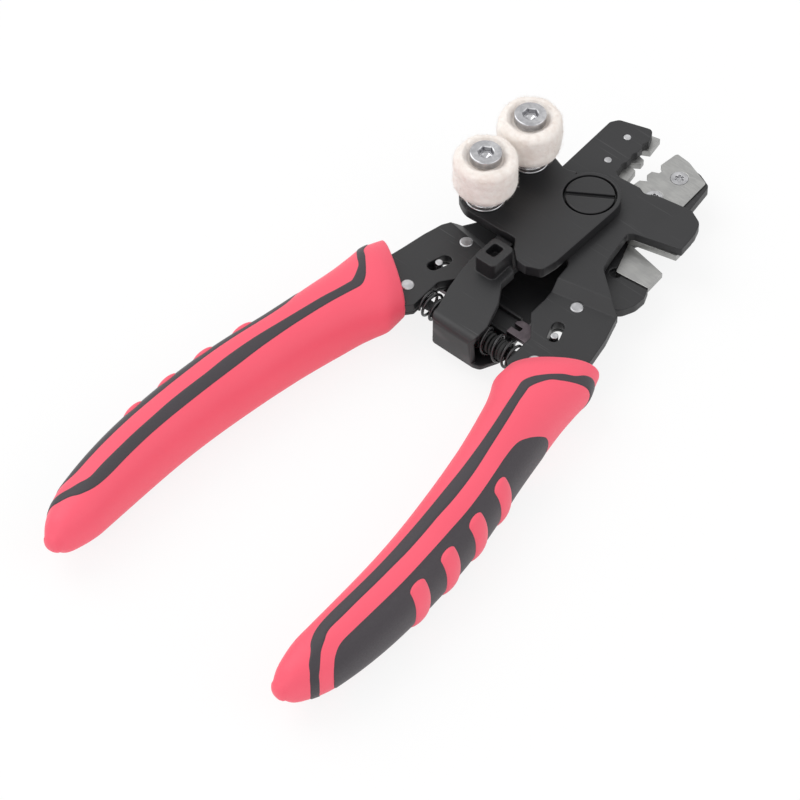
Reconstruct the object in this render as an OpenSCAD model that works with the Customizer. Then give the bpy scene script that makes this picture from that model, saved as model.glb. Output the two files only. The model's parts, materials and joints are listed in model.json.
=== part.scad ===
// Three-in-one fibre and drop-cable hand tool.
// +Y points from the pivot to the jaws, +X to the right, +Z up.
// The origin lies on the pivot axis, in the plane that the tool rests on.
// The tool is drawn open, with the centre body leaning a little to the left handle.

/* [Pivot] */
// Diameter of the slotted screw head
pivot_head_d = 12.2; // [10:0.1:13]
// Height of the slotted screw head
pivot_head_h = 1.8; // [1.2:0.1:2]
// Diameter of the shank that the levers turn on
pivot_d = 8; // [6:0.1:9]
// Width of the ring gap round the screw head
pivot_ring = 0.6; // [0.3:0.1:1]
// Width of the screwdriver slot
pivot_slot_w = 1.3; // [0.8:0.1:2]
// Depth of the screwdriver slot
pivot_slot_h = 0.9; // [0.5:0.1:1.1]
// Width across the flats of the nut
nut_af = 13; // [12:0.5:15]
// Height of the nut
nut_h = 3; // [2:0.5:3]

/* [Levers] */
// Thickness of the lever plates
plate_t = 2.4; // [2:0.1:2.6]
// Thickness of the backing plate under each handle
backing_t = 1.2; // [0.8:0.1:1.4]
// Height of the underside of both handle plates
handle_z = 8.4; // [8.2:0.1:9]
// Step of each lever head, up on the right lever and down on the left one
joggle = 2.4; // [2.3:0.05:2.5]
// Angle that each lever closes through
open_angle = 7.8; // [5:0.1:8.5]
// Lean of the centre body from the mid-line of the levers
lean = 2; // [0:0.1:2.5]
// Diameter of the handle rivets
rivet_d = 3; // [2:0.1:3.5]
// Radius of the first handle rivet from the pivot
rivet_r1 = 32; // [31:0.1:32.5]
// Distance between the edge of the second handle rivet and the front of the grip
rivet_gap = 1.6; // [0.8:0.1:2]
// Running clearance between turning pieces
play = 0.05; // [0.02:0.01:0.08]

/* [Jaws] */
// Reach of the stripping jaws from the pivot
jaw_reach = 29.3; // [28:0.1:30.5]
// Width of each stripping jaw
jaw_w = 11; // [10:0.5:12]
// Depth of the notches in the stripping blade
tooth_depth = 2.8; // [2:0.1:3]
// Depth of the notches in the notched plate
notch_depth = 1.6; // [1:0.1:2]
// Distance that the stripping blade passes over the notched plate when closed
blade_lap = 3.2; // [2.4:0.1:3.4]
// Thickness of the upper stripping blade and the upper shear blade
blade_t = 1.9; // [1.5:0.1:2]
// Thickness of the notched plate on the left lever
notch_plate_t = 1.6; // [1.2:0.1:1.8]
// Thickness of the lower shear blade
shear_t = 1.6; // [1.2:0.1:1.8]
// Diameter of the small jaw rivets
jaw_rivet_d = 2; // [1.5:0.1:2.4]
// Diameter of the blade screw heads
blade_screw_d = 4.6; // [4:0.1:5]

/* [Centre body] */
// Thickness of the cover plate
cover_t = 3; // [2.8:0.1:3.5]
// Half width of the cover strip over the pivot
cover_half = 7.7; // [7.4:0.1:8.5]
// Distance from the pivot to the rear end of the cover strip
cover_rear = 28.2; // [27:0.1:28.4]
// Thickness of the wheel wing
wing_t = 2.4; // [2:0.1:2.6]
// Thickness of the housing's floor and roof
shell_t = 1.2; // [1:0.1:1.3]
// Distance from the pivot to the rear face of the spring housing
housing_rear = 53; // [52.5:0.1:54]
// Height of the square boss over the housing
boss_h = 4.4; // [3:0.1:6]
// Width of the square boss
boss_w = 6.2; // [5.5:0.1:7]
// Length of the square boss
boss_l = 8; // [7:0.1:8.4]
// Width of the pocket in the boss
boss_hole_w = 3; // [2:0.1:3.6]
// Length of the pocket in the boss
boss_hole_l = 3.8; // [2.5:0.1:4.6]

/* [Felt wheels] */
// Diameter of each felt wheel
felt_d = 16; // [12:0.1:16]
// Height of each felt wheel
felt_h = 10.5; // [7:0.1:12]
// Radius of the rounded felt edges
felt_round = 3.2; // [1:0.1:4]
// Distance between the two wheel axes
wheel_pitch = 16.8; // [16.4:0.1:17]
// Diameter of the steel collar under each wheel
collar_d = 8; // [6:0.1:10]
// Height of the steel collar under each wheel
collar_h = 3.4; // [2:0.1:5]
// Diameter of each wheel screw
wheel_screw_d = 4; // [3:0.1:5]
// Diameter of each wheel screw head
wheel_head_d = 8; // [7:0.1:9]
// Height of each wheel screw head
wheel_head_h = 2.4; // [1.8:0.1:3]

/* [Springs and slides] */
// Outer diameter of the handle springs
spring_d = 7; // [6:0.1:7.1]
// Wire diameter of the handle springs
wire_d = 0.9; // [0.6:0.1:1]
// Number of turns of each spring
spring_turns = 5.5; // [4:0.5:5.5]
// Diameter of the slide pins
pin_d = 2; // [1.5:0.1:2.2]
// Width of the lever slots that the pins run in
pin_slot_w = 3.1; // [2.8:0.1:3.4]
// Thickness of the slides
slide_t = 1.2; // [0.8:0.1:1.2]
// Width of the slides
slide_w = 5.2; // [4:0.1:5.4]
// Travel of a slide for each radian of its lever
slide_rate = 42; // [38:0.5:46]

/* [Grips] */
// Height of the grips
grip_h = 18; // [16:0.2:18]
// Width of the grips at the palm
grip_w = 16.8; // [16:0.2:18]
// Width of the grips at the front collar
grip_collar_w = 20; // [19:0.2:21]
// Distance from the pivot to the front of the grips
grip_front = 46.4; // [46:0.1:47.5]
// Length of the grips
grip_l = 113.2; // [108:0.2:118]
// Distance from the handles' mid-line to the grip's axis at its front
grip_apart = 24.4; // [24:0.1:25.5]
// Slope of the straight front part of the grips
grip_flare = 0.2; // [0.18:0.005:0.21]
// Thickness of the black inlays
inlay_t = 0.4; // [0.3:0.1:0.8]

/* [Hidden] */

$fn = 48;
steel = "#c9cacc";
black = "#2b2c2e";
red = "#d84a5c";
reach = 200;

// Heights
head_up_z = handle_z + joggle;
head_down_z = handle_z - joggle;
head_down_top = head_down_z + plate_t;
backing_z = handle_z - backing_t;
handle_top = handle_z + plate_t;
cover_z = head_up_z + plate_t + 2 * play;
cover_top = cover_z + cover_t;
wing_z = cover_z + 2 * play;
wing_top = wing_z + wing_t;
strap_z = nut_h;
strap_top = strap_z + shell_t;
blade_z = head_up_z - blade_t;
edge_top = blade_z - 2 * play;
notch_seat_z = edge_top - notch_plate_t;
shear_z = edge_top - shear_t;
spring_z = strap_top + spring_d / 2 + 0.2;
slide_z = backing_z - slide_t - 0.2;
roof_front_z = cover_z + 1.1;
roof_rear_z = spring_z + spring_d / 2 + shell_t + 0.2;
grip_z = grip_h / 2;

// Angles and travels
right_turn = open_angle + lean;
left_turn = open_angle - lean;
radian = 180 / PI;
pin_y = -37.1;
pin_closed_x = 12.4;
slide_y = -38.2;
slide_tip_x = 0.5;
slide_tail = 2.4;
spring_y = -46.8;
wheel_x = -19;
front_wheel_y = -0.4;
rear_wheel_y = front_wheel_y - wheel_pitch;
wheel_ys = [front_wheel_y, rear_wheel_y];
wheel_base_z = wing_top + collar_h;
wheel_gap = 0.1;

function unit(v) = v / norm(v);
function turn(p, a) = [p.x * cos(a) - p.y * sin(a), p.x * sin(a) + p.y * cos(a)];
function polar(r, a) = [r * sin(a), -r * cos(a)];
function mirrored(pts) = [for (i = [len(pts) - 1:-1:0]) concat([-pts[i].x, pts[i].y], len(pts[i]) > 2 ? pts[i][2] : 0)];

// A corner [x, y, r] becomes an arc of radius r, and [x, y] stays sharp
function corner(a, b, c) =
    len(b) < 3 || b[2] <= 0 ? [[b.x, b.y]] :
    let (p = [b.x, b.y],
        u = unit([a.x, a.y] - p),
        v = unit([c.x, c.y] - p),
        half = acos(u * v) / 2,
        hub = p + unit(u + v) * b[2] / sin(half),
        s = p + u * b[2] / tan(half) - hub,
        e = p + v * b[2] / tan(half) - hub,
        from = atan2(s.y, s.x),
        sweep = (atan2(e.y, e.x) - from + 540) % 360 - 180,
        steps = max(3, ceil(abs(sweep) / 15)))
    [for (i = [0:steps]) hub + b[2] * [cos(from + sweep * i / steps), sin(from + sweep * i / steps)]];

function rounded(pts) =
    let (n = len(pts))
    [for (i = [0:n - 1]) each corner(pts[(i + n - 1) % n], pts[i], pts[(i + 1) % n])];

module slab(pts, z, h) {
    translate([0, 0, z]) linear_extrude(h) polygon(rounded(pts));
}

module grown(pts, z, h, grow) {
    translate([0, 0, z]) linear_extrude(h) offset(delta = grow) polygon(rounded(pts));
}

module rod(p, d, z, h) {
    translate([p.x, p.y, z]) cylinder(d = d, h = h);
}

// A slot with round ends between two points
module slot(a, b, w, z, h) {
    rod(a, w, z, h);
    rod(b, w, z, h);
    translate([a.x, a.y, z]) rotate(atan2(b.y - a.y, b.x - a.x))
        translate([0, -w / 2, 0]) cube([norm(b - a), w, h]);
}

// A tube of constant section along a list of rings, capped at both ends or closed into a loop
module skin(rings, closed = false) {
    m = len(rings[0]);
    n = len(rings);
    sides = [for (i = [0:n - (closed ? 1 : 2)], j = [0:m - 1]) let (k = (j + 1) % m, a = i * m, b = (i + 1) % n * m)
        each [[a + j, a + k, b + k], [a + j, b + k, b + j]]];
    first = [for (j = [1:m - 2]) [0, j + 1, j]];
    last = [for (j = [1:m - 2]) [(n - 1) * m, (n - 1) * m + j, (n - 1) * m + j + 1]];
    polyhedron(points = [for (r = rings) each r], faces = closed ? sides : concat(sides, first, last), convexity = 6);
}

// Lever geometry, drawn about the mid-line of the two open levers.
// A grip runs straight to bend_y and then curves back to the mid-line.
joggle_y = -25.3;
joggle_run = 2.8;
joggle_tilt = 10;
handle_inner = 14.2;
bend_y = -86;
bend = 0.0024;

function grip_axis(y) = grip_apart - grip_flare * (y + grip_front) - bend * pow(min(0, y - bend_y), 2);
function grip_slope(y) = -grip_flare - 2 * bend * min(0, y - bend_y);

// Surface of the grips. Each entry is [share of the length, half size].
half_widths = [[0, grip_collar_w / 2 - 0.8], [0.026, grip_collar_w / 2 - 0.4], [0.05, grip_collar_w / 2],
    [0.085, grip_collar_w / 2 - 0.6], [0.125, grip_w / 2 + 0.4], [0.19, grip_w / 2], [0.28, grip_w / 2 - 0.2],
    [0.44, grip_w / 2], [0.6, grip_w / 2 - 0.3], [0.76, grip_w / 2 - 0.8], [0.87, grip_w / 2 - 1.5],
    [0.91, grip_w / 2 - 1.9], [0.95, grip_w / 2 - 3.1], [0.98, grip_w / 2 - 4.5], [1, grip_w / 2 - 5.9]];
half_heights = [[0, grip_h / 2 - 2.8], [0.026, grip_h / 2 - 1.5], [0.05, grip_h / 2 - 1], [0.125, grip_h / 2 - 0.4],
    [0.19, grip_h / 2], [0.69, grip_h / 2],
    [0.82, grip_h / 2 - 0.4], [0.9, grip_h / 2 - 1.4], [0.955, grip_h / 2 - 2.8], [0.985, grip_h / 2 - 4.2],
    [1, grip_h / 2 - 6.2]];
grip_sides = 28;
grip_power = 2.3;
grip_slant = 0.52;
slant_run = 0.3;
grip_stations = [0, 0.012, 0.026, 0.05, 0.085, 0.125, 0.19, 0.28, 0.36, 0.44, 0.52, 0.6, 0.68, 0.76, 0.82, 0.87, 0.91,
    0.935, 0.955, 0.975, 0.988, 1];

// A point of the grip's surface: t along it, a round it, raised by lift
function grip_surface(t, a, lift) =
    let (y = -grip_front - t * grip_l,
        e = 2 / grip_power,
        across = (lookup(t, half_widths) + lift) * sign(cos(a)) * pow(abs(cos(a)), e),
        rise = (lookup(t, half_heights) + lift) * sign(sin(a)) * pow(abs(sin(a)), e),
        n = unit([1, -grip_slope(y)]),
        lead = grip_slant * max(0, 1 - t / slant_run) * across)
    [grip_axis(y) + across * n.x, y + across * n.y + lead, grip_z + rise];

function front_y(x) = let (e = grip_surface(0, 0, 0), w = grip_surface(0, 180, 0))
    w.y + (e.y - w.y) * (x - w.x) / (e.x - w.x);

tang_w = 10;
tang_front = -60;
tang_end = -128;
tang_steps = 8;
tang_ys = [for (i = [0:tang_steps]) tang_front + (tang_end - tang_front) * i / tang_steps];
shoulder = grip_axis(-50) + tang_w / 2 + 0.3;

// Both sides of the tang, down the left and up the right, grown by a clearance
function tang_sides(grow) = concat(
    [for (y = tang_ys) [grip_axis(y) - tang_w / 2 - grow, y - (y == tang_end ? grow : 0)]],
    [for (i = [tang_steps:-1:0]) let (y = tang_ys[i]) [grip_axis(y) + tang_w / 2 + grow, y - (y == tang_end ? grow : 0)]]);

// A handle from the joggle back, from its inner front corner, ending with its outer edge
function handle_outline(inner, outer) = concat([[9.4, -28.6], [9.4, -35.4], [handle_inner, -41.6, 1.5]], inner,
    [[handle_inner, -51]], tang_sides(0), [[shoulder, -50]], outer);
right_outer = [[29.9, -38.5, 8], [28.6, -31, 6], [26.9, -25.4, 2], [26.4, -23.4, 1]];
left_outer = [[27.9, -38.5, 8], [26.6, -31.6, 6], [25.2, -26.4, 2], [23.3, -23.2, 2]];

function pin_in_lever(a) = turn([pin_closed_x + slide_rate * a / radian, pin_y], open_angle - a);

module pin_slot(z, h) {
    a = pin_in_lever(-1);
    b = pin_in_lever(right_turn + 1.2);
    slot(a, b, pin_slot_w, z, h);
}

// The bent side profile of a lever, from the head to the handle
module bent_plate(step) {
    foot = joggle_y - joggle_run;
    rotate(joggle_tilt) rotate([90, 0, 90]) translate([0, 0, -reach]) linear_extrude(2 * reach)
        polygon([[reach, handle_z + step], [joggle_y, handle_z + step], [foot, handle_z], [-reach, handle_z],
            [-reach, handle_top], [foot, handle_top], [joggle_y, handle_top + step], [reach, handle_top + step]]);
}

// Right lever
jaw_left = -jaw_w - 1.8;
right_head = [[jaw_left, jaw_reach - 4.2, 1.5], [-11.4, jaw_reach - 2.2, 1.5], [-2.8, jaw_reach + 0.3, 1.4],
    [-1.2, jaw_reach - 3.4], [-1.4, 12.4, 0.6], [0.4, 11.6, 0.5], [6.4, 11.9, 1], [8.4, 11, 1.5], [12.2, 12.6],
    [20.8, 13.8, 3], [24.9, 11.6, 2.5], [26.1, 8, 3], [26.6, 1.9, 0.5], [14.5, -1.1, 1], [13.2, -2.2, 1],
    [14.5, -10.5, 6], [15.5, -14.9, 3], [23.3, -21.6, 0.5], [26.4, -23.4], [26.4, -28.6], [9.4, -30],
    [8.2, -19, 3], [-1, -11.5, 6], [-9.5, -6, 6], [jaw_left, 0, 3]];

module scallops() {
    for (y = [15.6, 19.7, 24.3])
        rod([-0.1, y], 3.4, head_up_z - 1, plate_t + 2);
}

// Bores for the pivot, the rivets and the pin, with a flat for each rivet head
module lever_holes() {
    rod([0, 0], pivot_d + 2 * play, 0, reach);
    for (p = rivet_places) {
        rod(p, rivet_d, 0, reach);
        rod(p, rivet_d + 0.8, handle_top, reach);
    }
    pin_slot(0, reach);
}

rear_rivet_x = 19.4;
rivet_places = [polar(rivet_r1, 32), [rear_rivet_x, front_y(rear_rivet_x) + rivet_d / 2 + rivet_gap]];
jaw_rivet_places = [[-6.3, jaw_reach - 5.7], [-5.4, 14.5]];
upper_screw_places = [[17.6, 4.8], [22.6, 6]];

module right_lever() {
    color(black) rotate(lean) difference() {
        intersection() {
            bent_plate(joggle);
            union() {
                slab(right_head, 0, reach);
                slab(handle_outline([], right_outer), 0, reach);
            }
        }
        lever_holes();
        scallops();
        for (p = jaw_rivet_places)
            rod(p, jaw_rivet_d, 0, reach);
    }
}

// The inner edge has a notch that holds the end of the spring
spring_seat = [[handle_inner, spring_y + 1.4], [handle_inner - 2.6, spring_y + 1.2, 0.5],
    [handle_inner - 2.6, spring_y - 1.2, 0.5], [handle_inner, spring_y - 1.4]];
backing_outline = handle_outline(spring_seat, [left_outer[0], left_outer[1], [26, -28.6]]);

module backing_plate() {
    difference() {
        slab(backing_outline, backing_z, backing_t);
        lever_holes();
    }
}

module handle_rivets() {
    head = 0.25;
    for (p = rivet_places) {
        rod(p, rivet_d, backing_z, backing_t + plate_t);
        translate([p.x, p.y, handle_top]) cylinder(d1 = rivet_d + 0.4, d2 = rivet_d - 0.4, h = head);
        translate([p.x, p.y, backing_z - head]) cylinder(d1 = rivet_d - 0.4, d2 = rivet_d + 0.4, h = head);
    }
}

module right_backing_plate() { color(black) rotate(lean) backing_plate(); }
module right_rivets() { color(steel) rotate(lean) handle_rivets(); }

// The stripping edge: lands on a line, with a round notch and a long notch between them
notch_marks = [17.4, 20, 21.7, 24.9];
edge_from = 12.8;
function edge_line(a, off, r) = turn([off, r], a);
function toothed_edge(a, off, deep) = [
    edge_line(a, off, edge_from), edge_line(a, off, notch_marks[0]),
    edge_line(a, off + deep, (notch_marks[0] + notch_marks[1]) / 2), edge_line(a, off, notch_marks[1]),
    edge_line(a, off, notch_marks[2]), edge_line(a, off + deep, notch_marks[2] + 1),
    edge_line(a, off + deep, notch_marks[3] - 1), edge_line(a, off, notch_marks[3]),
    edge_line(a, off, jaw_reach + 0.7)];

module stripping_blade() {
    pts = concat(toothed_edge(open_angle, blade_lap, -tooth_depth),
        [[-3.2, jaw_reach + 0.4, 0.5], [-9, jaw_reach - 1.8, 1], [-8.6, 12.6, 1]]);
    color(steel) rotate(lean) difference() {
        slab(pts, blade_z, blade_t);
        for (p = jaw_rivet_places)
            rod(p, jaw_rivet_d, 0, reach);
    }
}

module stripping_blade_rivets() {
    color(steel) rotate(lean) for (p = jaw_rivet_places)
        rod(p, jaw_rivet_d, blade_z, blade_t + plate_t + 0.15);
}

// Upper shear blade: its edge stands below the arm of the right lever
upper_edge = [[12.8, -1.6], [25.6, 1.2]];

module upper_shear_blade() {
    pts = [upper_edge[0], upper_edge[1], [25.4, 8.6, 1], [14.2, 6.8, 1]];
    color(steel) rotate(lean) difference() {
        slab(pts, blade_z, blade_t);
        for (p = upper_screw_places)
            rod(p, 2.5, 0, reach);
    }
}

module upper_shear_screws() {
    color(steel) rotate(lean) for (p = upper_screw_places)
        rod(p, 2.5, blade_z, blade_t);
}

// Left lever
left_head = [[-23.3, -23.2, 2], [-16, -12, 4], [-12, -4, 5], [-9.5, 4, 5], [-2, 9.6, 4], [4, 13.6, 1],
    [5.4, jaw_reach + 0.2, 1], [13, jaw_reach - 0.9, 3], [16.9, jaw_reach - 2.8, 1.5], [17.9, 17.2], [17.4, 11, 3],
    [15.6, 4, 4], [12.4, -1.8, 1], [21.8, -5, 1], [25.4, -9.8, 2], [26.5, -12.6, 2], [26.3, -16, 4], [24.2, -20.4, 3],
    [20.4, -20.4, 3], [14, -14, 6], [6, -11.5, 6], [-4, -13, 6], [-9.4, -20], [-9.4, -30], [-25.6, -28.6]];
plate_back = [[2.6, 11.6, 0.5], [15.4, 10.2, 1], [16.1, 17], [15.9, jaw_reach - 2.6, 1], [8.4, jaw_reach + 0.5, 4],
    [4.6, jaw_reach + 1, 0.5]];
notched_edge = toothed_edge(-open_angle, 0.1, notch_depth);
notched_plate_pts = concat([for (i = [8:-1:0]) notched_edge[i]], plate_back);
plate_seat_pts = concat([[0, jaw_reach + 1], [0, 11.6]], plate_back);
notched_screw_places = [[9.7, jaw_reach - 5.3], [8.6, 15]];
lower_blade_pts = [[12.9, -1], [25.4, -3.9], [25.6, -10], [16.2, -10.6, 0.6]];
lower_screw_place = [19.4, -7];

module left_lever() {
    color(black) rotate(lean) difference() {
        intersection() {
            mirror([1, 0, 0]) bent_plate(-joggle);
            union() {
                slab(left_head, 0, reach);
                mirror([1, 0, 0]) slab(handle_outline([], left_outer), 0, reach);
            }
        }
        mirror([1, 0, 0]) lever_holes();
        grown(plate_seat_pts, notch_seat_z, reach, play);
        grown(lower_blade_pts, shear_z, reach, play);
        rod(lower_blade_pts[3], 3.2, shear_z, reach);
        rod(lower_screw_place, 2.5, 0, reach);
        for (p = notched_screw_places)
            rod(p, 2.5, 0, reach);
    }
}

module left_backing_plate() { color(black) rotate(lean) mirror([1, 0, 0]) backing_plate(); }
module left_rivets() { color(steel) rotate(lean) mirror([1, 0, 0]) handle_rivets(); }

module countersunk(p, z, h, head_z, grow) {
    cone = 1.2;
    shank = 2.5 + 2 * grow;
    rod(p, shank, z, h);
    translate([p.x, p.y, head_z - cone]) cylinder(d1 = shank, d2 = blade_screw_d + 2 * grow, h = cone);
}

module notched_plate() {
    color(steel) rotate(lean) difference() {
        slab(notched_plate_pts, notch_seat_z, notch_plate_t);
        for (p = notched_screw_places)
            countersunk(p, 0, reach, edge_top, 0.05);
    }
}

// Screws with a six-lobed socket in a flush head
module notched_plate_screws() {
    color(steel) rotate(lean) for (p = notched_screw_places) difference() {
        countersunk(p, head_down_z + 0.2, edge_top - head_down_z - 0.2, edge_top, 0);
        for (a = [0:60:120])
            translate([p.x, p.y, edge_top]) rotate(a) cube([blade_screw_d / 2, 0.6, 1.4], center = true);
    }
}

module lower_shear_blade() {
    color(steel) rotate(lean) difference() {
        slab(lower_blade_pts, shear_z, shear_t);
        rod(lower_screw_place, 2.5, 0, head_down_top - 0.5);
    }
}

module lower_shear_screw() {
    z = head_down_z - 1.2;
    color(steel) rotate(lean) {
        rod(lower_screw_place, 2.5, z, head_down_top - 0.5 - z);
        rod(lower_screw_place, blade_screw_d, z, head_down_z - z);
    }
}

// Centre body
screw_core = 2;
screw_head = 3.8;
housing_screw_places = [[-5, -16.4], [-5, -21.4]];

module cover_plate() {
    far = front_wheel_y + collar_d / 2 + 1.2;
    near = rear_wheel_y - collar_d / 2 - 2;
    wing_pts = [[-6, -22.8], [-15, -22.8, 3], [-20.4, near, 5], [-26, near + 3, 6], [-25.8, far, 6.5], [-17, far + 0.4, 5],
        [-11, far - 1.6, 4], [-6, far - 0.8]];
    strip_pts = concat([[-cover_half, -22.8], [-4.6, -22.8, 0.8], [-2.8, -25.4, 1], [0.2, -cover_rear, 1.2],
        [3, -cover_rear, 2], [6.8, 1.7 - cover_rear, 1.5], [7.6, -22, 4]],
        [for (a = [0:12:180]) cover_half * [cos(a), sin(a)]]);
    crease = 1.8;
    color(black) difference() {
        union() {
            slab(strip_pts, cover_z, cover_t);
            intersection() {
                slab(wing_pts, 0, reach);
                rotate([90, 0, 0]) translate([0, 0, -reach]) linear_extrude(2 * reach)
                    polygon([[-40, wing_z], [-cover_half - crease, wing_z], [-cover_half + 0.5, cover_z],
                        [-cover_half + 0.5, cover_top], [-cover_half, cover_top],
                        [-cover_half - crease, wing_top], [-40, wing_top]]);
            }
        }
        rod([0, 0], pivot_head_d + 2 * pivot_ring, cover_top - pivot_head_h - 0.2, reach);
        rod([0, 0], pivot_d + 2 * play, 0, reach);
        for (y = wheel_ys)
            rod([wheel_x, y], wheel_screw_d, 0, reach);
        for (p = housing_screw_places)
            rod(p, screw_core, 0, cover_z + 2);
    }
}

// Spring housing: a strap under the levers, an end wall, a sloping roof and a neck under the cover
neck_h = 2.1;
neck_z = cover_z - neck_h;
boss_top = roof_front_z + boss_h;
boss_at = [-1 - boss_w / 2, -27.5 - boss_l / 2];
boss_hole_at = boss_at + [-0.4, 0.6];
rear_right = 7;
rear_left = -6.2;
rear_corner = 2;
foot_y = 0.6 - housing_rear;

function box_pts(w, l, r) = [[-w / 2, -l / 2, r], [w / 2, -l / 2, r], [w / 2, l / 2, r], [-w / 2, l / 2, r]];

// The profile is drawn in Y and Z, and runs from x0 to x1
module along_x(x0, x1) {
    translate([x0, 0, 0]) rotate([90, 0, 90]) linear_extrude(x1 - x0) children();
}

module housing_strap() {
    slab([[-8, 0], [-8, -43, 2], [rear_left, foot_y, 1.5],
        [rear_right, foot_y, 1], [8.8, foot_y + 0.6, 1.5], [11, -47, 2], [8, -26, 2], [8, 0]],
        strap_z, shell_t);
    rod([0, 0], 16, strap_z, shell_t);
}

module housing_shell() {
    wall = 1.2;
    slope_y = -30;
    inner_front = roof_front_z - 1.4 - shell_t;
    inner_rear = roof_rear_z - shell_t;
    intersection() {
        slab([[-9.6, -23.3], [-4.9, -23.3], [-4.9, -26], [-2.8, -28], [0.2, -29.4], [1, -30], [1, -34.6, 1],
            [4.2, -39.6, 3], [6.9, -47], [rear_right, -50], [rear_right, -housing_rear, rear_corner],
            [rear_left, -housing_rear, rear_corner], [rear_left, -50], [-8.2, -43, 3], [-9.2, -37.5, 3], [-9.6, -34]],
            0, reach);
        along_x(-20, 20) polygon(rounded([[-22, roof_front_z], [slope_y, roof_front_z, 6],
            [-housing_rear, roof_rear_z, 2.2], [foot_y, strap_z + 0.4], [foot_y + wall, strap_z + 0.4],
            [wall - housing_rear, inner_rear, 1], [slope_y, inner_front, 6], [-22, inner_front]]));
    }
}

// A bed with a rail on each side, which the slides run in
module slide_bed() {
    rail = 0.7;
    half = slide_w / 2 + play;
    bed = slide_z - play;
    top = backing_z - 0.3;
    translate([0, slide_y, 0]) along_x(-8, 8)
        polygon([[-half - rail, strap_top - 0.4], [half + rail, strap_top - 0.4], [half + rail, top], [half, top],
            [half, bed], [-half, bed], [-half, top], [-half - rail, top]]);
}

module spring_housing() {
    web = 1;
    color(black) difference() {
        union() {
            housing_strap();
            housing_shell();
            slide_bed();
            slab([[-8.3, -13.6, 1], [-1.4, -13.6, 1], [-0.4, -24], [0.4, -34], [-9.5, -34], [-9.5, -24]], neck_z, neck_h);
            translate([-web, foot_y + 0.5, strap_z + 0.4]) cube([2 * web, spring_y + 4 - foot_y, roof_rear_z - strap_z - 0.9]);
            translate([boss_at.x, boss_at.y]) slab(box_pts(boss_w, boss_l, 1.3), cover_z - 1, boss_top - cover_z + 1);
        }
        rod([0, 0], pivot_d + 2 * play, 0, reach);
        translate([boss_hole_at.x, boss_hole_at.y]) slab(box_pts(boss_hole_w, boss_hole_l, 0.7), boss_top - 3, reach);
        for (p = housing_screw_places) {
            rod(p, screw_core, neck_z - 1, neck_h + 2);
            translate([p.x, p.y, neck_z - 1]) cylinder(d = screw_head, h = 1);
            translate([p.x, p.y, neck_z]) cylinder(d1 = screw_head, d2 = screw_core, h = 1);
        }
    }
}
module housing_screws() {
    color(steel) for (p = housing_screw_places) {
        rod(p, screw_core, neck_z, neck_h + 1.8);
        translate([p.x, p.y, neck_z]) cylinder(d1 = screw_head, d2 = screw_core, h = 1);
    }
}

module pivot_screw() {
    head_z = cover_top - pivot_head_h;
    color(black) difference() {
        union() {
            rod([0, 0], pivot_head_d, head_z, pivot_head_h);
            rod([0, 0], pivot_d, 0, head_z);
        }
        rotate(34) translate([-reach / 2, -pivot_slot_w / 2, cover_top - pivot_slot_h])
            cube([reach, pivot_slot_w, reach]);
    }
}

module pivot_nut() {
    color(steel) difference() {
        cylinder(d = nut_af / cos(30), h = nut_h, $fn = 6);
        rod([0, 0], pivot_d, -1, reach);
    }
}

module ring(d, bore, z, h) {
    difference() {
        rod([0, 0], d, z, h);
        rod([0, 0], bore, z - 1, h + 2);
    }
}

module pivot_washer() {
    color(steel) ring(14, pivot_d + 2 * play, strap_top, head_down_z - strap_top - play);
}

module pivot_spacer() {
    color("goldenrod") ring(16, pivot_d + 2 * play, head_down_top + play, head_up_z - head_down_top - 2 * play);
}

// Felt wheels
module wheel_collar(y) {
    flange = 0.8;
    color(steel) translate([wheel_x, y, wing_top]) difference() {
        union() {
            cylinder(d = collar_d + 2, h = flange);
            cylinder(d = collar_d, h = collar_h);
        }
        translate([0, 0, -1]) cylinder(d = wheel_screw_d, h = reach);
    }
}

module wheel_screw(y) {
    chamfer = 0.7;
    top = wheel_base_z + felt_h + 2 * wheel_gap;
    socket = wheel_head_d / 2;
    color(steel) translate([wheel_x, y, 0]) difference() {
        union() {
            translate([0, 0, wing_z]) cylinder(d = wheel_screw_d, h = top - wing_z);
            translate([0, 0, top]) cylinder(d = wheel_head_d, h = wheel_head_h - chamfer);
            translate([0, 0, top + wheel_head_h - chamfer])
                cylinder(d1 = wheel_head_d, d2 = wheel_head_d - 2 * chamfer, h = chamfer);
        }
        translate([0, 0, top + wheel_head_h - 1.6]) cylinder(d = socket / cos(30), h = 3, $fn = 6);
    }
}

module felt_wheel(y) {
    r = felt_d / 2;
    color("#efe7da") translate([wheel_x, y, wheel_base_z + wheel_gap]) rotate_extrude($fn = 96)
        polygon(concat([[wheel_screw_d / 2 + play, 0]],
            [for (a = [-90:15:0]) [r - felt_round + felt_round * cos(a), felt_round + felt_round * sin(a)]],
            [for (a = [0:15:90]) [r - felt_round + felt_round * cos(a), felt_h - felt_round + felt_round * sin(a)]],
            [[wheel_screw_d / 2 + play, felt_h]]));
}

module front_wheel_collar() { wheel_collar(front_wheel_y); }
module rear_wheel_collar() { wheel_collar(rear_wheel_y); }
module front_wheel_screw() { wheel_screw(front_wheel_y); }
module rear_wheel_screw() { wheel_screw(rear_wheel_y); }
module front_felt_wheel() { felt_wheel(front_wheel_y); }
module rear_felt_wheel() { felt_wheel(rear_wheel_y); }

// Slides: a forked plate and its pin, drawn for the right side with the tool closed
module slide_plate(shift) {
    tail = pin_closed_x + slide_tail;
    w = slide_w / 2;
    notch = 0.6;
    y = slide_y;
    translate([shift, 0, 0]) difference() {
        slab([[slide_tip_x, y - w], [tail, y - w, 1], [tail, y + w, 1], [slide_tip_x + 1, y + w], [slide_tip_x, y + w - 1],
            [slide_tip_x, y + notch], [slide_tip_x + 2.6, y + notch], [slide_tip_x + 2.6, y - notch],
            [slide_tip_x, y - notch]], slide_z, slide_t);
        rod([pin_closed_x, pin_y], pin_d, 0, reach);
    }
}

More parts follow.
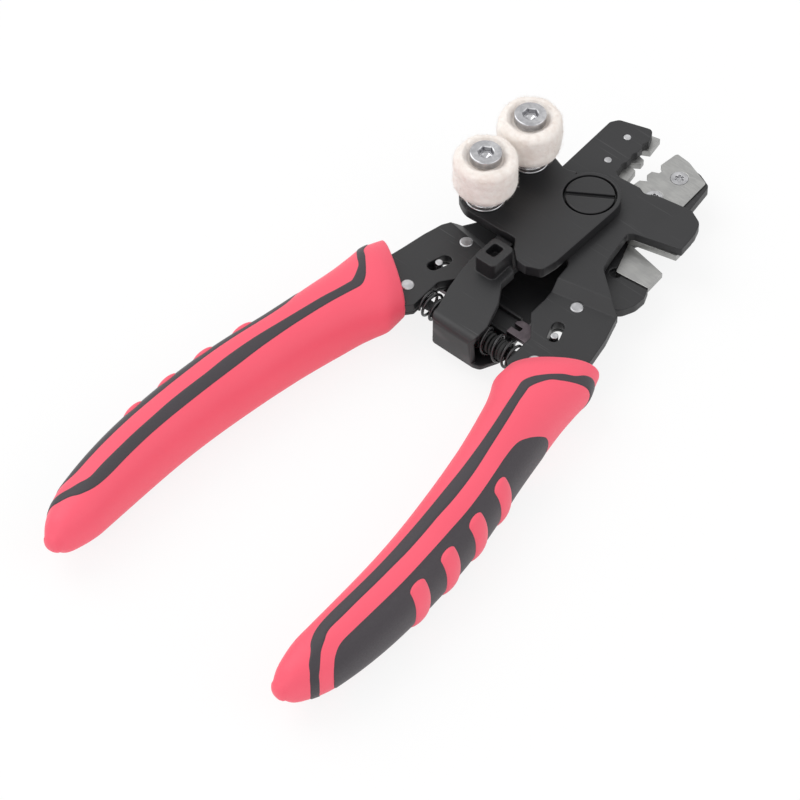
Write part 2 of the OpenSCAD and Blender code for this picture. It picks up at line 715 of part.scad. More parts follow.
module slide_pin(shift) {
    rod([pin_closed_x + shift, pin_y], pin_d, slide_z, handle_top + 0.2 - slide_z);
}

right_shift = slide_rate * right_turn / radian;
left_shift = slide_rate * left_turn / radian;

module right_slide() { color("#8f8a8e") slide_plate(right_shift); }
module right_slide_pin() { color(steel) slide_pin(right_shift); }
module left_slide() { color("#8f8a8e") mirror([1, 0, 0]) slide_plate(left_shift); }
module left_slide_pin() { color(steel) mirror([1, 0, 0]) slide_pin(left_shift); }

// A compression spring along X, from the web to the edge of a backing plate
module spring(a, b) {
    around = 8;
    per_turn = 14;
    turns = spring_turns;
    r = (spring_d - wire_d) / 2;
    x0 = a + wire_d / 2;
    run = b - a - wire_d;
    steps = turns * per_turn;
    skin([for (i = [0:steps])
        let (t = i / steps, h = 360 * turns * t)
        [for (k = [0:around - 1])
            let (c = 360 * k / around, q = r + wire_d / 2 * cos(c))
            [x0 + run * t + wire_d / 2 * sin(c), spring_y + q * cos(h), spring_z + q * sin(h)]]]);
}

function edge_x(angle) = turn([handle_inner, spring_y], angle).x;
right_spring_end = edge_x(lean) - 0.15;
left_spring_end = edge_x(-lean) - 0.15;

module right_spring() { color("#38383b") spring(1.1, right_spring_end); }
module left_spring() { color("#38383b") mirror([1, 0, 0]) spring(1.1, left_spring_end); }

// Grips: a bored sleeve on each tang, with an inlay and ribs that follow its surface
// Corners of the tang's bore at each station, in the order of the sleeve's quarters
function bore_ring(l, r, y_l, y_r) = [[r, y_r, bore_top], [l, y_l, bore_top], [l, y_l, bore_floor], [r, y_r, bore_floor]];
bore_play = 0.05;
bore_top = handle_top + bore_play;
bore_floor = backing_z - bore_play;
bore_left = handle_inner - bore_play;
bore_right = shoulder + bore_play;
bore_sides = tang_sides(bore_play);
bore_rings = concat(
    [bore_ring(bore_left, bore_right, front_y(bore_left), front_y(bore_right)), bore_ring(bore_left, bore_right, -51, -50)],
    [for (i = [0:tang_steps]) let (l = bore_sides[i], r = bore_sides[2 * tang_steps + 1 - i]) bore_ring(l.x, r.x, l.y, r.y)]);

module grip() {
    m = grip_sides;
    n = len(grip_stations);
    outer = [for (t = grip_stations, k = [0:m - 1]) grip_surface(t, 360 * k / m, 0)];
    bore = [for (r = bore_rings) each r];
    o = n * m;
    last = len(bore_rings) - 1;
    quarter = m / 4;
    sides = [for (i = [0:n - 2], j = [0:m - 1]) let (k = (j + 1) % m)
        each [[i * m + j, i * m + k, (i + 1) * m + k], [i * m + j, (i + 1) * m + k, (i + 1) * m + j]]];
    tip = [for (j = [1:m - 2]) [(n - 1) * m, (n - 1) * m + j, (n - 1) * m + j + 1]];
    front = [for (j = [0:m - 1]) [j, o + floor(j / quarter), (j + 1) % m]];
    front_corners = [for (q = [0:3]) [((q + 1) * quarter) % m, o + q, o + (q + 1) % 4]];
    walls = [for (i = [0:last - 1], j = [0:3]) let (k = (j + 1) % 4, a = o + 4 * i)
        each [[a + j, a + 4 + k, a + k], [a + j, a + 4 + j, a + 4 + k]]];
    end = [[o + 4 * last, o + 4 * last + 2, o + 4 * last + 1], [o + 4 * last, o + 4 * last + 3, o + 4 * last + 2]];
    polyhedron(points = concat(outer, bore), faces = concat(sides, tip, front, front_corners, walls, end), convexity = 8);
}

// A strip on the grip's surface; each row is [t, angle] of one edge, then of the other
module surface_strip(rows, across, low, high, closed = false) {
    function spot(row, i, lift) = let (p = row[0] + (row[1] - row[0]) * i / across) grip_surface(p[0], p[1], lift);
    skin([for (row = rows) concat([for (i = [0:across]) spot(row, i, high)], [for (i = [across:-1:0]) spot(row, i, low)])],
        closed);
}

seat_lift = 0.3;
// Inner and outer edge of the stripe, from the front collar over the top to the tail
stripe_top = [[[0.055, 0], [0.023, 0]], [[0.057, 11], [0.025, 13]], [[0.06, 22], [0.029, 26]], [[0.064, 33], [0.037, 39]],
    [[0.069, 46], [0.05, 52]], [[0.075, 60], [0.056, 70]], [[0.083, 76], [0.073, 92]], [[0.115, 89], [0.102, 103]],
    [[0.15, 89], [0.15, 103]], [[0.2, 88], [0.2, 103]], [[0.28, 87], [0.28, 104]], [[0.36, 86], [0.36, 107]],
    [[0.44, 87], [0.44, 111]], [[0.52, 89], [0.52, 113]], [[0.6, 89], [0.6, 114]], [[0.68, 90], [0.68, 114]],
    [[0.76, 90], [0.76, 115]], [[0.82, 89], [0.82, 116]], [[0.865, 88], [0.87, 112]], [[0.885, 81], [0.905, 99]],
    [[0.905, 71], [0.928, 82]], [[0.918, 57], [0.944, 66]], [[0.928, 42], [0.952, 46]], [[0.935, 28], [0.957, 30]],
    [[0.937, 14], [0.959, 15]], [[0.938, 0], [0.96, 0]]];
stripe_rows = concat(stripe_top, [for (i = [len(stripe_top) - 2:-1:1]) [for (p = stripe_top[i]) [p[0], -p[1]]]]);
// Reach of the panel to each side of the palm line
panel_reach = [[0.187, 6], [0.2, 20], [0.213, 38], [0.229, 55], [0.252, 67], [0.29, 71], [0.36, 72], [0.44, 73],
    [0.52, 76], [0.6, 77], [0.68, 76], [0.76, 75], [0.82, 73], [0.865, 69], [0.89, 52], [0.902, 30], [0.908, 6]];
// Ribs across the panel
rib_ts = [0.355, 0.457, 0.558, 0.658];
rib_reach = [[-0.025, 32], [-0.018, 43], [0, 48], [0.018, 43], [0.025, 32]];
rib_t = 0.7;

function both_ways(reaches, t0) = [for (p = reaches) [[t0 + p[0], -p[1]], [t0 + p[0], p[1]]]];

module grip_inlay() {
    surface_strip(stripe_rows, 2, seat_lift, seat_lift + inlay_t, true);
    surface_strip(both_ways(panel_reach, 0), 12, seat_lift, seat_lift + inlay_t);
}

module grip_ribs() {
    low = seat_lift + inlay_t + 2 * play;
    for (t = rib_ts)
        surface_strip(both_ways(rib_reach, t), 8, low, low + rib_t);
}

module right_grip() { color(red) rotate(lean) grip(); }
module right_grip_inlay() { color(black) rotate(lean) grip_inlay(); }
module right_grip_ribs() { color(red) rotate(lean) grip_ribs(); }
module left_grip() { color(red) rotate(lean) mirror([1, 0, 0]) grip(); }
module left_grip_inlay() { color(black) rotate(lean) mirror([1, 0, 0]) grip_inlay(); }
module left_grip_ribs() { color(red) rotate(lean) mirror([1, 0, 0]) grip_ribs(); }

cover_plate();
spring_housing();
housing_screws();
pivot_screw();
pivot_nut();
pivot_washer();
pivot_spacer();
front_wheel_collar();
rear_wheel_collar();
front_wheel_screw();
rear_wheel_screw();
front_felt_wheel();
rear_felt_wheel();
right_lever();
right_backing_plate();
right_rivets();
stripping_blade();
stripping_blade_rivets();
upper_shear_blade();
upper_shear_screws();
right_grip();
right_grip_inlay();
right_grip_ribs();
left_lever();
left_backing_plate();
left_rivets();
notched_plate();
notched_plate_screws();
lower_shear_blade();
lower_shear_screw();
left_grip();
left_grip_inlay();
left_grip_ribs();
right_slide();
right_slide_pin();
left_slide();
left_slide_pin();
right_spring();
left_spring();
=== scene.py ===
import json
import math

import bmesh
import bpy
import numpy as np
from mathutils import Matrix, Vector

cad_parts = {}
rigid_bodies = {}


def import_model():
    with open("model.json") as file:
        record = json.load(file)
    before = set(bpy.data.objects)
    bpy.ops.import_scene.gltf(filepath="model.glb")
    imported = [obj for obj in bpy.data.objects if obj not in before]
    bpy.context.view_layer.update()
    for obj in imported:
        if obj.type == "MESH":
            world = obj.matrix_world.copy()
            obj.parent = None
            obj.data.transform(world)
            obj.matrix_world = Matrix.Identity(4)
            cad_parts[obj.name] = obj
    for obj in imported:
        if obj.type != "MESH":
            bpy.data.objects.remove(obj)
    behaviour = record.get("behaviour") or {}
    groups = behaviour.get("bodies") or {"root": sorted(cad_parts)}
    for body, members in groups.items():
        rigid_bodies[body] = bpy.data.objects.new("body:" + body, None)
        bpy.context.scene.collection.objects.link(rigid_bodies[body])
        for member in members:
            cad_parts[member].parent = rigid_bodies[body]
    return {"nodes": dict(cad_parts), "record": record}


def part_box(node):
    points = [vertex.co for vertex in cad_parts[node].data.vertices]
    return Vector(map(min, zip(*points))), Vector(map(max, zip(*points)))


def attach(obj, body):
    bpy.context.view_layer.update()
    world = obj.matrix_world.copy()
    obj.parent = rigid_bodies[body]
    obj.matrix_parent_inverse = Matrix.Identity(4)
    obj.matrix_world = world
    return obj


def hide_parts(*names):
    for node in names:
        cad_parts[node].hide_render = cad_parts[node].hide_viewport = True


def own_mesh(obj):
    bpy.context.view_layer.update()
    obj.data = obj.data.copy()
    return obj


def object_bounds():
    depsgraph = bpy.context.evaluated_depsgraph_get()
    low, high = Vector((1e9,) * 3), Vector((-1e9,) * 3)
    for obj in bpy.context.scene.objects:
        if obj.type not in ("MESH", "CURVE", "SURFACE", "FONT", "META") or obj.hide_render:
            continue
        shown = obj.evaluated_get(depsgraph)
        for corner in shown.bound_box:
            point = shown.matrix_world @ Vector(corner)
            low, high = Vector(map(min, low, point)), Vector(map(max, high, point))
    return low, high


for item in list(bpy.data.objects):  # nothing of the start-up file is kept
    bpy.data.objects.remove(item)
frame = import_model()
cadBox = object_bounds()
mm = 0.001
print("frame loaded:", len(frame["nodes"]), "nodes")


def linearColour(hexCode):  # an sRGB hex value as linear red, green, blue and alpha
    parts = np.array([int(hexCode[i:i + 2], 16) for i in (1, 3, 5)]) / 255
    linear = np.where(parts <= 0.04045, parts / 12.92, ((parts + 0.055) / 1.055) ** 2.4)
    return (*[float(v) for v in linear], 1.0)


def addNode(tree, kind, settings=None, links=None):  # one shader node with its values and what feeds it
    node = tree.nodes.new(kind)
    for key, value in (settings or {}).items():
        if isinstance(key, int) or key in node.inputs:
            node.inputs[key].default_value = value
        else:
            setattr(node, key, value)
    for key, source in (links or {}).items():
        tree.links.new(source, node.inputs[key])
    return node


def newMaterial(name):
    material = bpy.data.materials.new(name)
    material.use_nodes = True
    material.node_tree.nodes.clear()
    return material, material.node_tree


def smoothValues(knots, t):
    # A cubic between neighbouring knots, whose slope at a knot is the mean of the two chords there
    knots = np.array(knots, float)
    x, y = knots[:, 0], knots[:, 1]
    chord = np.diff(y) / np.diff(x)
    slope = np.concatenate([[chord[0]], (chord[1:] + chord[:-1]) / 2, [chord[-1]]])
    slope[1:-1][chord[1:] * chord[:-1] <= 0] = 0
    t = np.clip(np.asarray(t, float), x[0], x[-1])
    i = np.clip(np.searchsorted(x, t, side="right") - 1, 0, len(x) - 2)
    run = x[i + 1] - x[i]
    s = (t - x[i]) / run
    return ((2 * s**3 - 3 * s**2 + 1) * y[i] + (s**3 - 2 * s**2 + s) * run * slope[i]
            + (3 * s**2 - 2 * s**3) * y[i + 1] + (s**3 - s**2) * run * slope[i + 1])


def linkMesh(name, mesh):  # a smooth-shaded object in the scene
    mesh.polygons.foreach_set("use_smooth", np.ones(len(mesh.polygons), bool))
    mesh.update()
    piece = bpy.data.objects.new(name, mesh)
    bpy.context.scene.collection.objects.link(piece)
    return piece


def gridPiece(name, points, around=False, along=False, capStart=False, capEnd=False):
    # Quads join neighbours in the rows and columns of points, and a cap fans from the mean of its row
    rows, columns = points.shape[:2]
    flat = points.reshape(-1, 3) * mm
    r = np.arange(rows if along else rows - 1)[:, None]
    c = np.arange(columns if around else columns - 1)[None, :]
    r2, c2 = (r + 1) % rows, (c + 1) % columns
    quads = np.stack([r * columns + c, r * columns + c2, r2 * columns + c2, r2 * columns + c], -1)
    faces = quads.reshape(-1, 4).tolist()
    k = np.arange(columns)
    if capStart:
        faces += np.stack([np.full(columns, len(flat)), (k + 1) % columns, k], -1).tolist()
        flat = np.vstack([flat, points[0].mean(0) * mm])
    if capEnd:
        base = (rows - 1) * columns
        faces += np.stack([np.full(columns, len(flat)), base + k, base + (k + 1) % columns], -1).tolist()
        flat = np.vstack([flat, points[-1].mean(0) * mm])
    mesh = bpy.data.meshes.new(name)
    mesh.from_pydata(flat.tolist(), [], faces)
    return linkMesh(name, mesh)


def placed(right, up, back, place):  # a matrix from three axes and a place in metres
    return Matrix([[right[i], up[i], back[i], place[i]] for i in range(3)] + [[0, 0, 0, 1]])


def settle(piece, body, material, nodes=()):  # rides on its body in its finish, in place of its nodes
    piece.data.materials.clear()
    piece.data.materials.append(material)
    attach(piece, body)
    if nodes:
        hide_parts(*nodes)
    return piece


# The camera
cameraSpec = {
    "azimuth": 40.8, "elevation": 49.5, "distance": 1.2,  # degrees and metres
    "sensor": 36, "lens": 221.4, "clip": (0.05, 20),
    "pivot": (46.34, 49.88, 16.1),  # how far right of and above the view's middle it lies, and its height
}


def makeCamera(spec):
    azimuth, elevation = math.radians(spec["azimuth"]), math.radians(spec["elevation"])
    level = math.cos(elevation)
    back = np.array([math.sin(azimuth) * level, -math.cos(azimuth) * level, math.sin(elevation)])
    right = np.array([math.cos(azimuth), math.sin(azimuth), 0])
    up = np.cross(back, right)
    across, rise, height = spec["pivot"]
    place = np.array([0, 0, height * mm]) + back * spec["distance"] - right * across * mm - up * rise * mm
    data = bpy.data.cameras.new("camera")
    data.sensor_width, data.lens = spec["sensor"], spec["lens"]
    data.clip_start, data.clip_end = spec["clip"]
    camera = bpy.data.objects.new("camera", data)
    camera.matrix_world = placed(right, up, back, place)
    bpy.context.scene.collection.objects.link(camera)
    bpy.context.scene.camera = camera


makeCamera(cameraSpec)
print("camera placed")


# Materials
def noise(tree, place, scale, detail, extra=None):
    settings = {"Scale": scale, "Detail": detail, **(extra or {})}
    return addNode(tree, "ShaderNodeTexNoise", settings, {"Vector": place})


def spread(tree, source, low, high, span=(0.3, 0.7)):  # carries the span of a value over to low and high
    ends = {1: span[0], 2: span[1], 3: low, 4: high}
    return addNode(tree, "ShaderNodeMapRange", ends, {0: source.outputs[0]})


def combined(tree, operation, first, second):
    return addNode(tree, "ShaderNodeMath", {"operation": operation}, {0: first, 1: second})


def blend(tree, share, dark, light):  # two colours by a share
    colours = {"data_type": "RGBA", 6: linearColour(dark), 7: linearColour(light)}
    return addNode(tree, "ShaderNodeMix", colours, {0: share.outputs[0]})


def shineAndBump(tree, colour, roughness, height, strength, depth, settings, soften=0.0):
    # Ends a material: a principled surface with a bump of some depth, and corners softened over a radius
    relief = {"Strength": strength, "Distance": depth * mm}
    bump = addNode(tree, "ShaderNodeBump", relief, {"Height": height.outputs[0]})
    if soften:
        corner = addNode(tree, "ShaderNodeBevel", {"samples": 6, "Radius": soften * mm})
        tree.links.new(corner.outputs[0], bump.inputs["Normal"])
    links = {"Base Color": colour.outputs[2], "Roughness": roughness.outputs[0], "Normal": bump.outputs[0]}
    surface = addNode(tree, "ShaderNodeBsdfPrincipled", settings, links)
    addNode(tree, "ShaderNodeOutputMaterial", {}, {"Surface": surface.outputs[0]})


def blackOxide(name, dark, light, low, high, soften=0.0):
    # Black oxide on stamped steel, sealed with oil: near black, softly glossy, clouded and finely marked
    material, tree = newMaterial(name)
    place = addNode(tree, "ShaderNodeTexCoord").outputs["Object"]
    clouds = noise(tree, place, 90, 4)  # about 11 mm across
    grain = noise(tree, place, 1600, 3)  # grit of 0.6 mm
    slanting = {"Rotation": (0, 0, 0.6), "Scale": (60, 2400, 60)}
    turned = addNode(tree, "ShaderNodeMapping", slanting, {"Vector": place})
    marks = noise(tree, turned.outputs[0], 1, 2)  # hairlines 0.4 mm wide
    worn = spread(tree, marks, 0.0, 0.25, (0.66, 0.78))
    tone = blend(tree, clouds, dark, light)
    wornColour = {"data_type": "RGBA", 7: linearColour("#6a6a6c")}
    rubbed = addNode(tree, "ShaderNodeMix", wornColour, {0: worn.outputs[0], 6: tone.outputs[2]})
    rough = spread(tree, clouds, low, high)
    shineAndBump(tree, rubbed, rough, grain, 0.35, 0.03, {"Specular IOR Level": 0.5}, soften)
    return material


def worked(name, dark, light, low, high, scale, depth=0.01):
    # Bare or plated metal, whose cut or ground surface carries lines; scale is in metres to the minus one
    material, tree = newMaterial(name)
    place = addNode(tree, "ShaderNodeTexCoord").outputs["Object"]
    stretched = addNode(tree, "ShaderNodeMapping", {"Scale": scale}, {"Vector": place})
    lines = noise(tree, stretched.outputs[0], 1, 3)
    clouds = noise(tree, place, 260, 3)  # stains about 4 mm across
    both = combined(tree, "MULTIPLY", lines.outputs[0], clouds.outputs[0])
    tone = blend(tree, spread(tree, both, 0.0, 1.0, (0.12, 0.4)), dark, light)
    shineAndBump(tree, tone, spread(tree, lines, low, high), lines, 0.3, depth, {"Metallic": 1.0})
    return material


def softTouch(name, dark, light, low, high, sheen):
    # Thermoplastic rubber moulded over the handles: matt, even colour, with a fine spark-eroded grain
    material, tree = newMaterial(name)
    place = addNode(tree, "ShaderNodeTexCoord").outputs["Object"]
    clouds = noise(tree, place, 45, 3)  # flow marks about 20 mm across
    grain = noise(tree, place, 2200, 2)  # a grain of 0.15 mm, drawn at 0.45 mm
    rough = spread(tree, grain, low, high)
    settings = {"Sheen Weight": sheen, "Sheen Roughness": 0.4}
    shineAndBump(tree, blend(tree, clouds, dark, light), rough, grain, 0.25, 0.03, settings)
    return material


def pressedFelt():
    # Pressed wool felt: off-white, fully matt, with matted fibres about 1 mm apart, random patches, and
    # painted shade that darkens the colour where the fibre bump is low
    material, tree = newMaterial("pressedWoolFelt")
    place = addNode(tree, "ShaderNodeTexCoord").outputs["Object"]
    tufts = noise(tree, place, 900, 5, {"Roughness": 0.7})
    patches = noise(tree, place, 220, 3)
    # the colour follows the tufts' bump and is darker in its hollows: painted shade, mixed with random
    # patches
    both = combined(tree, "ADD", tufts.outputs[0], patches.outputs[0])
    tone = blend(tree, spread(tree, both, 0.0, 1.0, (0.7, 1.25)), "#f0e5dd", "#fffaf5")
    rough = spread(tree, tufts, 0.9, 1.0, (0.0, 1.0))
    shineAndBump(tree, tone, rough, tufts, 0.6, 0.25, {"Sheen Weight": 0.3})
    return material


finishes = {
    "black_coating": blackOxide("blackOxideSteel", "#171719", "#1f1f21", 0.36, 0.5, 0.5),
    "bright_steel": worked("zincPlatedSteel", "#a0a0a2", "#c2c2c4", 0.3, 0.45, (700, 700, 700)),
    "chrome_steel": worked("nickelPlatedSteel", "#a8a8ab", "#c6c6c8", 0.06, 0.14, (900, 900, 300)),
    "blade_steel": worked("groundToolSteel", "#9a9a99", "#a9a9a7", 0.34, 0.46, (400, 2600, 400), 0.015),
    "slide_steel": worked("temperedSteel", "#544d51", "#6c6468", 0.35, 0.5, (900, 500, 900)),
    "spring_steel": blackOxide("blackSpringWire", "#1c1c1e", "#29292b", 0.2, 0.32),
    # near-black and matt, with no highlight: painted shade for the inside of the outer spring
    "inner_spring_shade": blackOxide("innerSpringPaintedShade", "#0c0c0d", "#121213", 0.6, 0.75),
    "bronze": worked("sinteredBronze", "#7a5a2c", "#a8843f", 0.35, 0.5, (1500, 1500, 1500)),
    "red_rubber": softTouch("redSoftTouchRubber", "#f3566c", "#f95e74", 0.5, 0.62, 0.12),
    "black_rubber": softTouch("blackSoftTouchRubber", "#312c31", "#3a343a", 0.5, 0.62, 0.1),
    "felt": pressedFelt(),
}
nodeSlots = {entry["node"]: entry["material_slot"] for entry in frame["record"]["subparts"]}
nodeBodies = {node: body for body, nodes in frame["record"]["behaviour"]["bodies"].items() for node in nodes}
for name, piece in frame["nodes"].items():  # each node gets its finish, even where a piece replaces it
    piece.data.materials.clear()
    piece.data.materials.append(finishes[nodeSlots[name]])
print("materials made:", len(finishes))


# Metal pieces: the frame's own shapes, with their stamped or turned edges broken
edgeRule = {"merge": 0.002, "flat": 0.5, "corner": 35}  # millimetres, then degrees
edgeSpec = {  # widest rounding in millimetres, and its number of facets
    "cover_plate": (0.6, 3), "spring_housing": (0.5, 3), "right_lever": (0.4, 3), "left_lever": (0.4, 3),
    "pivot_screw": (0.25, 3), "right_backing_plate": (0.2, 2), "left_backing_plate": (0.2, 2),
    "stripping_blade": (0.3, 1), "notched_plate": (0.1, 2), "upper_shear_blade": (0.2, 1),
    "lower_shear_blade": (0.15, 2), "front_wheel_collar": (0.3, 3), "rear_wheel_collar": (0.3, 3),
    "notched_plate_screws": (0.16, 2), "lower_shear_screw": (0.2, 2), "right_slide": (0.15, 2),
    "left_slide": (0.15, 2), "pivot_nut": (0.25, 2), "pivot_washer": (0.15, 2), "pivot_spacer": (0.15, 2),
    "right_slide_pin": (0.3, 3), "left_slide_pin": (0.3, 3), "right_rivets": (0.25, 3),
    "left_rivets": (0.25, 3), "stripping_blade_rivets": (0.3, 3), "housing_screws": (0.1, 2),
    "upper_shear_screws": (0.1, 2),
}


def brokenEdges(node, width, facets):
    # A merged copy of the node, its flat faces joined, its corners rounded as far as its short edges allow
    mesh = frame["nodes"][node].data.copy()
    work = bmesh.new()
    work.from_mesh(mesh)
    bmesh.ops.remove_doubles(work, verts=work.verts, dist=edgeRule["merge"] * mm)
    flat = math.radians(edgeRule["flat"])
    bmesh.ops.dissolve_limit(work, angle_limit=flat, verts=work.verts, edges=work.edges)
    work.to_mesh(mesh)
    work.free()
    if "custom_normal" in mesh.attributes:
        mesh.attributes.remove(mesh.attributes["custom_normal"])
    piece = linkMesh(node + ".dressed", mesh)
    edge = piece.modifiers.new("edge", "BEVEL")
    edge.width, edge.segments = width * mm, facets
    edge.limit_method, edge.angle_limit = "ANGLE", math.radians(edgeRule["corner"])
    edge.use_clamp_overlap, edge.miter_outer = True, "MITER_ARC"
    piece.modifiers.new("shade", "WEIGHTED_NORMAL").keep_sharp = True
    return settle(piece, nodeBodies[node], finishes[nodeSlots[node]], [node])


for node, (width, facets) in edgeSpec.items():
    brokenEdges(node, width, facets)
print("metal pieces dressed:", len(edgeSpec))


# Wheel screws: a low cylinder head with a hexagon socket and the cone that its drill left
headSpec = {
    "radius": 4, "shank": 1.9, "foot": 13.6, "under": 30, "top": 32.3, "corner": 0.35,
    "flats": 3.4, "depth": 1.7, "lead": 0.16, "drill": 1.25, "cone": 0.7,
    # degrees from the middle of a flat, closer together towards the corners of the hexagon
    "angles": [-29.9, -29.4, -28.5, -26, -22, -17, -11, -4, 4, 11, 17, 22, 26, 28.5, 29.4, 29.9],
}


def screwRings(s):
    # Radius, height and one where the ring is a hexagon, whose radius is then what it has beyond the socket
    r, top, c, under, lead = s["radius"], s["top"], s["corner"], s["under"], s["lead"]
    land, floor = s["flats"] / 2, top - s["depth"]
    quarter = np.radians(np.linspace(0, 90, 7))
    rings = [(s["shank"], s["foot"], 0), (s["shank"], under - 0.02, 0), (s["shank"], under, 0),
             (r - 0.15, under, 0), (r - 0.04, under + 0.04, 0), (r, under + 0.15, 0)]
    rings += [(r - c + c * math.cos(a), top - c + c * math.sin(a), 0) for a in quarter]
    rings += [(r - c - 0.05, top, 0), (land + 0.42, top, 0), (land + 0.36, top, 0)]
    rings += [(lead, top - lead, 1), (0.1, top - 0.24, 1), (0, top - 0.4, 1)]
    rings += [(0, floor + 0.05, 1), (-0.05, floor, 1), (-0.25, floor, 1)]
    rings += [(s["drill"], floor - 0.02, 0), (s["drill"] - 0.05, floor - 0.06, 0)]
    return rings + [(0.05, floor - s["cone"], 0)]


def wheelScrew(name, hub):
    # Rings round the axis, each a circle or a hexagon
    step = np.radians(headSpec["angles"])
    angle = (np.arange(6)[:, None] * np.pi / 3 + step[None, :]).ravel()
    hexagon = headSpec["flats"] / 2 / np.cos(np.tile(step, 6))
    rows = []
    for size, height, hexed in screwRings(headSpec):
        radius = hexagon + size if hexed else np.full(len(angle), size)
        level = np.full(len(angle), height)
        rows.append(np.stack([hub[0] + radius * np.cos(angle), hub[1] + radius * np.sin(angle), level], -1))
    return gridPiece(name, np.array(rows), around=True, capStart=True, capEnd=True)


def axisOf(node):  # where the middle of a node lies, in millimetres
    low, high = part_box(node)
    return (low.x + high.x) / 2 / mm, (low.y + high.y) / 2 / mm


for which in ("front", "rear"):
    node = which + "_wheel_screw"
    screw = wheelScrew(which + ".wheel.screw", axisOf(node))
    settle(screw, nodeBodies[node], finishes[nodeSlots[node]], [node])
print("wheel screws made")


# Grips
gripSpec = {
    "apart": 24.4, "flare": 0.2, "bendFrom": -86, "bend": 0.0024, "front": 46.4, "length": 113.2, "lean": 2,
    "middle": 9, "power": 2.3, "slant": 0.52, "slantRun": 0.3,
    "rows": 220, "around": 160, "crowding": 0.35,  # mesh rows, closer together at both ends
    "mouth": [(0.5, 0.4), (0.84, 0.6), (0.92, 0.5), (0.975, 0.25)],  # share of the section, millimetres ahead
    "tail": [20, 40, 58, 75, 86], "dome": 1.5,  # degrees up the dome, and its height
    # share of the length, half size in millimetres
    "halfWidths": [[0, 9.2], [0.026, 9.6], [0.05, 10], [0.085, 9.4], [0.125, 8.8], [0.19, 8.4], [0.28, 8.2],
                   [0.44, 8.4], [0.6, 8.1], [0.76, 7.6], [0.87, 6.9], [0.91, 6.5], [0.95, 5.3], [0.98, 3.9],
                   [1, 2.5]],
    "halfHeights": [[0, 6.2], [0.026, 7.5], [0.05, 8], [0.125, 8.6], [0.19, 9], [0.69, 9], [0.82, 8.6],
                    [0.9, 7.6], [0.955, 6.2], [0.985, 4.8], [1, 2.8]],
}


def gripPoints(t, angle, lift, side):
    # A squared ellipse in each section, along a line that runs straight, bends back and leans with the handle
    s = gripSpec
    y = -s["front"] - t * s["length"]
    power = 2 / s["power"]
    cosine, sine = np.cos(angle), np.sin(angle)
    across = (smoothValues(s["halfWidths"], t) + lift) * np.sign(cosine) * np.abs(cosine) ** power
    rise = (smoothValues(s["halfHeights"], t) + lift) * np.sign(sine) * np.abs(sine) ** power
    past = np.minimum(0, y - s["bendFrom"])
    slope = -s["flare"] - 2 * s["bend"] * past
    length = np.hypot(1, slope)
    lead = s["slant"] * np.maximum(0, 1 - t / s["slantRun"]) * across
    x = side * (s["apart"] - s["flare"] * (y + s["front"]) - s["bend"] * past**2 + across / length)
    y = y - across * slope / length + lead
    lean = math.radians(s["lean"])
    ahead = x * math.sin(lean) + y * math.cos(lean)
    return np.stack([x * math.cos(lean) - y * math.sin(lean), ahead, s["middle"] + rise], -1)


def gripBody(name, side):
    # Rings of grip points, with a lip rolled into the front face and a dome on the tail
    s = gripSpec
    u = np.linspace(0, 1, s["rows"])
    t = u - s["crowding"] * np.sin(2 * np.pi * u) / (2 * np.pi)
    angle = np.linspace(0, 2 * np.pi, s["around"], endpoint=False) * side
    rings = gripPoints(t[:, None], angle[None, :], 0.0, side)
    hub, tip = rings[0].mean(0), rings[-1].mean(0)
    ahead, behind = hub - rings[6].mean(0), tip - rings[-3].mean(0)
    ahead, behind = ahead / np.linalg.norm(ahead), behind / np.linalg.norm(behind)
    mouth = [hub + (rings[0] - hub) * share + ahead * out for share, out in s["mouth"]]
    tail = [tip + (rings[-1] - tip) * math.cos(a) + behind * s["dome"] * math.sin(a)
            for a in np.radians(s["tail"])]
    points = np.concatenate([np.array(mouth), rings, np.array(tail)])
    return gridPiece(name, points, around=True, capStart=True, capEnd=True)


# how deep the edges of a moulded-on strip lie under the surface, and the share of its half width that climbs
stripSpec = {"tuck": 0.3, "climb": 0.3, "crowding": 0.12}


def tuckedStrip(first, last, lift, side, columns):
    # Columns run from one edge line to the other; the lift climbs from under the surface near each edge
    v = np.linspace(0, 1, columns)
    v = v - stripSpec["crowding"] * np.sin(2 * np.pi * v)
    t = first[0][:, None] * (1 - v) + last[0][:, None] * v
    angle = np.radians(first[1][:, None] * (1 - v) + last[1][:, None] * v)
    edge = np.minimum(v, 1 - v) * 2
    tuck = stripSpec["tuck"]
    rise = -tuck + (lift + tuck) * np.clip(edge / stripSpec["climb"], 0, 1) ** 0.5
    return gripPoints(t, angle, np.broadcast_to(rise, t.shape), side)


stripeSpec = {
    "lift": 0.14, "rows": 320, "columns": 22,
    # along the outer edge and the inner edge of the stripe: share of the length, angle round the grip
    "outer": [(0.023, 0), (0.025, 13), (0.029, 26), (0.037, 39), (0.05, 52), (0.056, 70), (0.073, 92),
              (0.102, 103), (0.15, 103), (0.2, 103), (0.28, 104), (0.36, 107), (0.44, 111), (0.52, 113),
              (0.6, 114), (0.68, 114), (0.76, 115), (0.82, 116), (0.87, 112), (0.905, 99), (0.928, 82),
              (0.944, 66), (0.952, 46), (0.957, 30), (0.959, 15), (0.96, 0)],
    "inner": [(0.055, 0), (0.057, 11), (0.06, 22), (0.064, 33), (0.069, 46), (0.075, 60), (0.083, 76),
              (0.115, 89), (0.15, 89), (0.2, 88), (0.28, 87), (0.36, 86), (0.44, 87), (0.52, 89), (0.6, 89),
              (0.68, 90), (0.76, 90), (0.82, 89), (0.865, 88), (0.885, 81), (0.905, 71), (0.918, 57),
              (0.928, 42), (0.935, 28), (0.937, 14), (0.938, 0)],
}
panelSpec = {
    "lift": 0.12, "rows": 300, "columns": 90,
    "rim": [(0.187, 1), (0.19, 16), (0.2, 29), (0.213, 42), (0.229, 55), (0.252, 67), (0.29, 71), (0.36, 72),
            (0.44, 73), (0.52, 76), (0.6, 77), (0.68, 76), (0.76, 75), (0.82, 73), (0.865, 69), (0.89, 54),
            (0.902, 34), (0.907, 16), (0.908, 1)],
}
